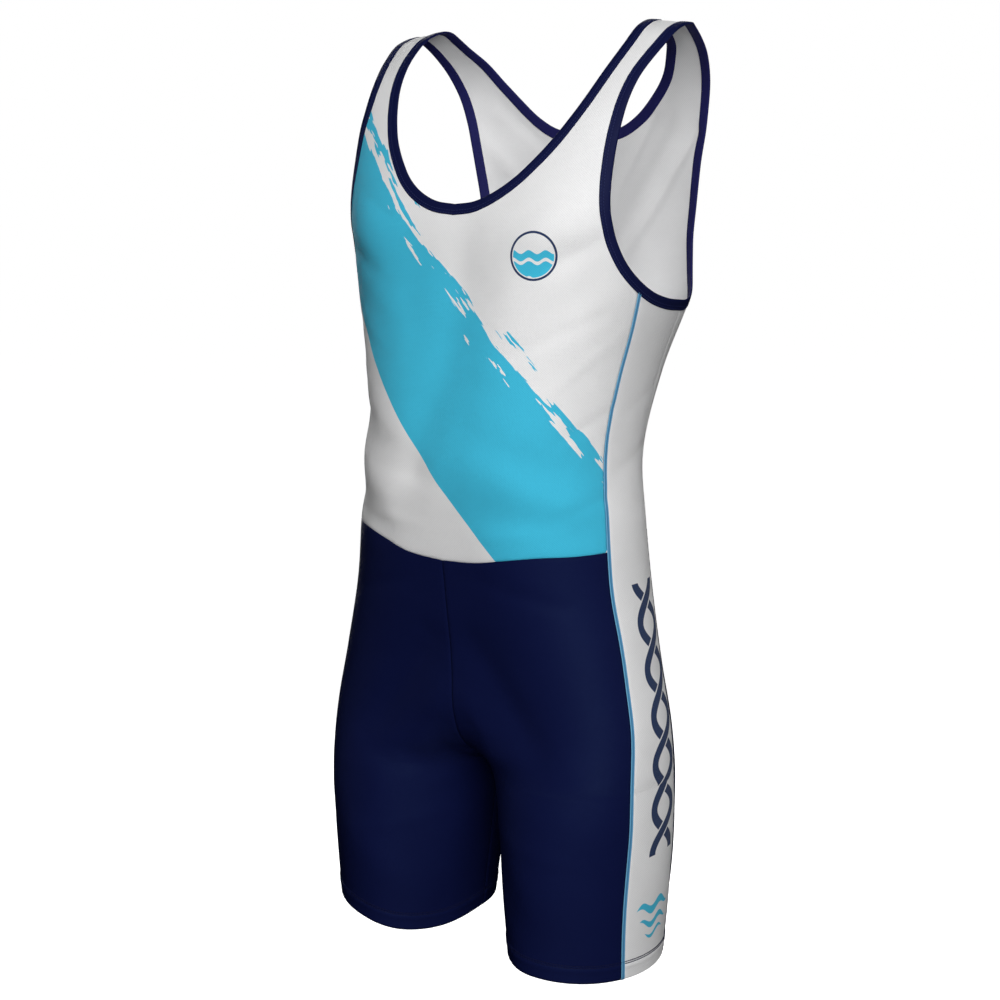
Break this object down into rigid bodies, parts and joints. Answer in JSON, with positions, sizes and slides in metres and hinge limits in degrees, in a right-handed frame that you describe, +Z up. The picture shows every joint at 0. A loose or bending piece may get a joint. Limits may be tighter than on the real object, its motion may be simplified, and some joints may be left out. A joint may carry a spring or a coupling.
{
  "type": "rowing unisuit",
  "caption": "Sleeveless one-piece rowing suit in its worn, filled-out form with no wearer: deep scoop neck and armholes, pale top and side panels, dark mid-thigh shorts.",
  "frame": {"origin": "middle of the shoulder line, halfway between the tops of the two straps, where the wearer's shoulders hold the suit up", "axes": "+Z up, -Y to the wearer's front, +X to the wearer's left"},
  "size_m": [0.352, 0.269, 0.8718],
  "materials": {
    "pale_cloth": "fine matt polyester and elastane knit with a faint sheen",
    "navy_cloth": "dense dark navy stretch knit with a soft sheen",
    "navy_binding": "folded navy stretch binding, twin-needle stitched",
    "blue_piping": "narrow steel-blue knitted trim"
  },
  "bodies": {
    "root": {"front_top": "pale_cloth", "back_top": "pale_cloth", "side_panel_left": "pale_cloth", "side_panel_right": "pale_cloth", "shorts_front_left": "navy_cloth", "shorts_front_right": "navy_cloth", "shorts_back_left": "navy_cloth", "shorts_back_right": "navy_cloth", "neck_binding": "navy_binding", "armhole_binding_left": "navy_binding", "armhole_binding_right": "navy_binding", "seam_piping_left": "blue_piping", "seam_piping_right": "blue_piping"}
  },
  "joints": []
}
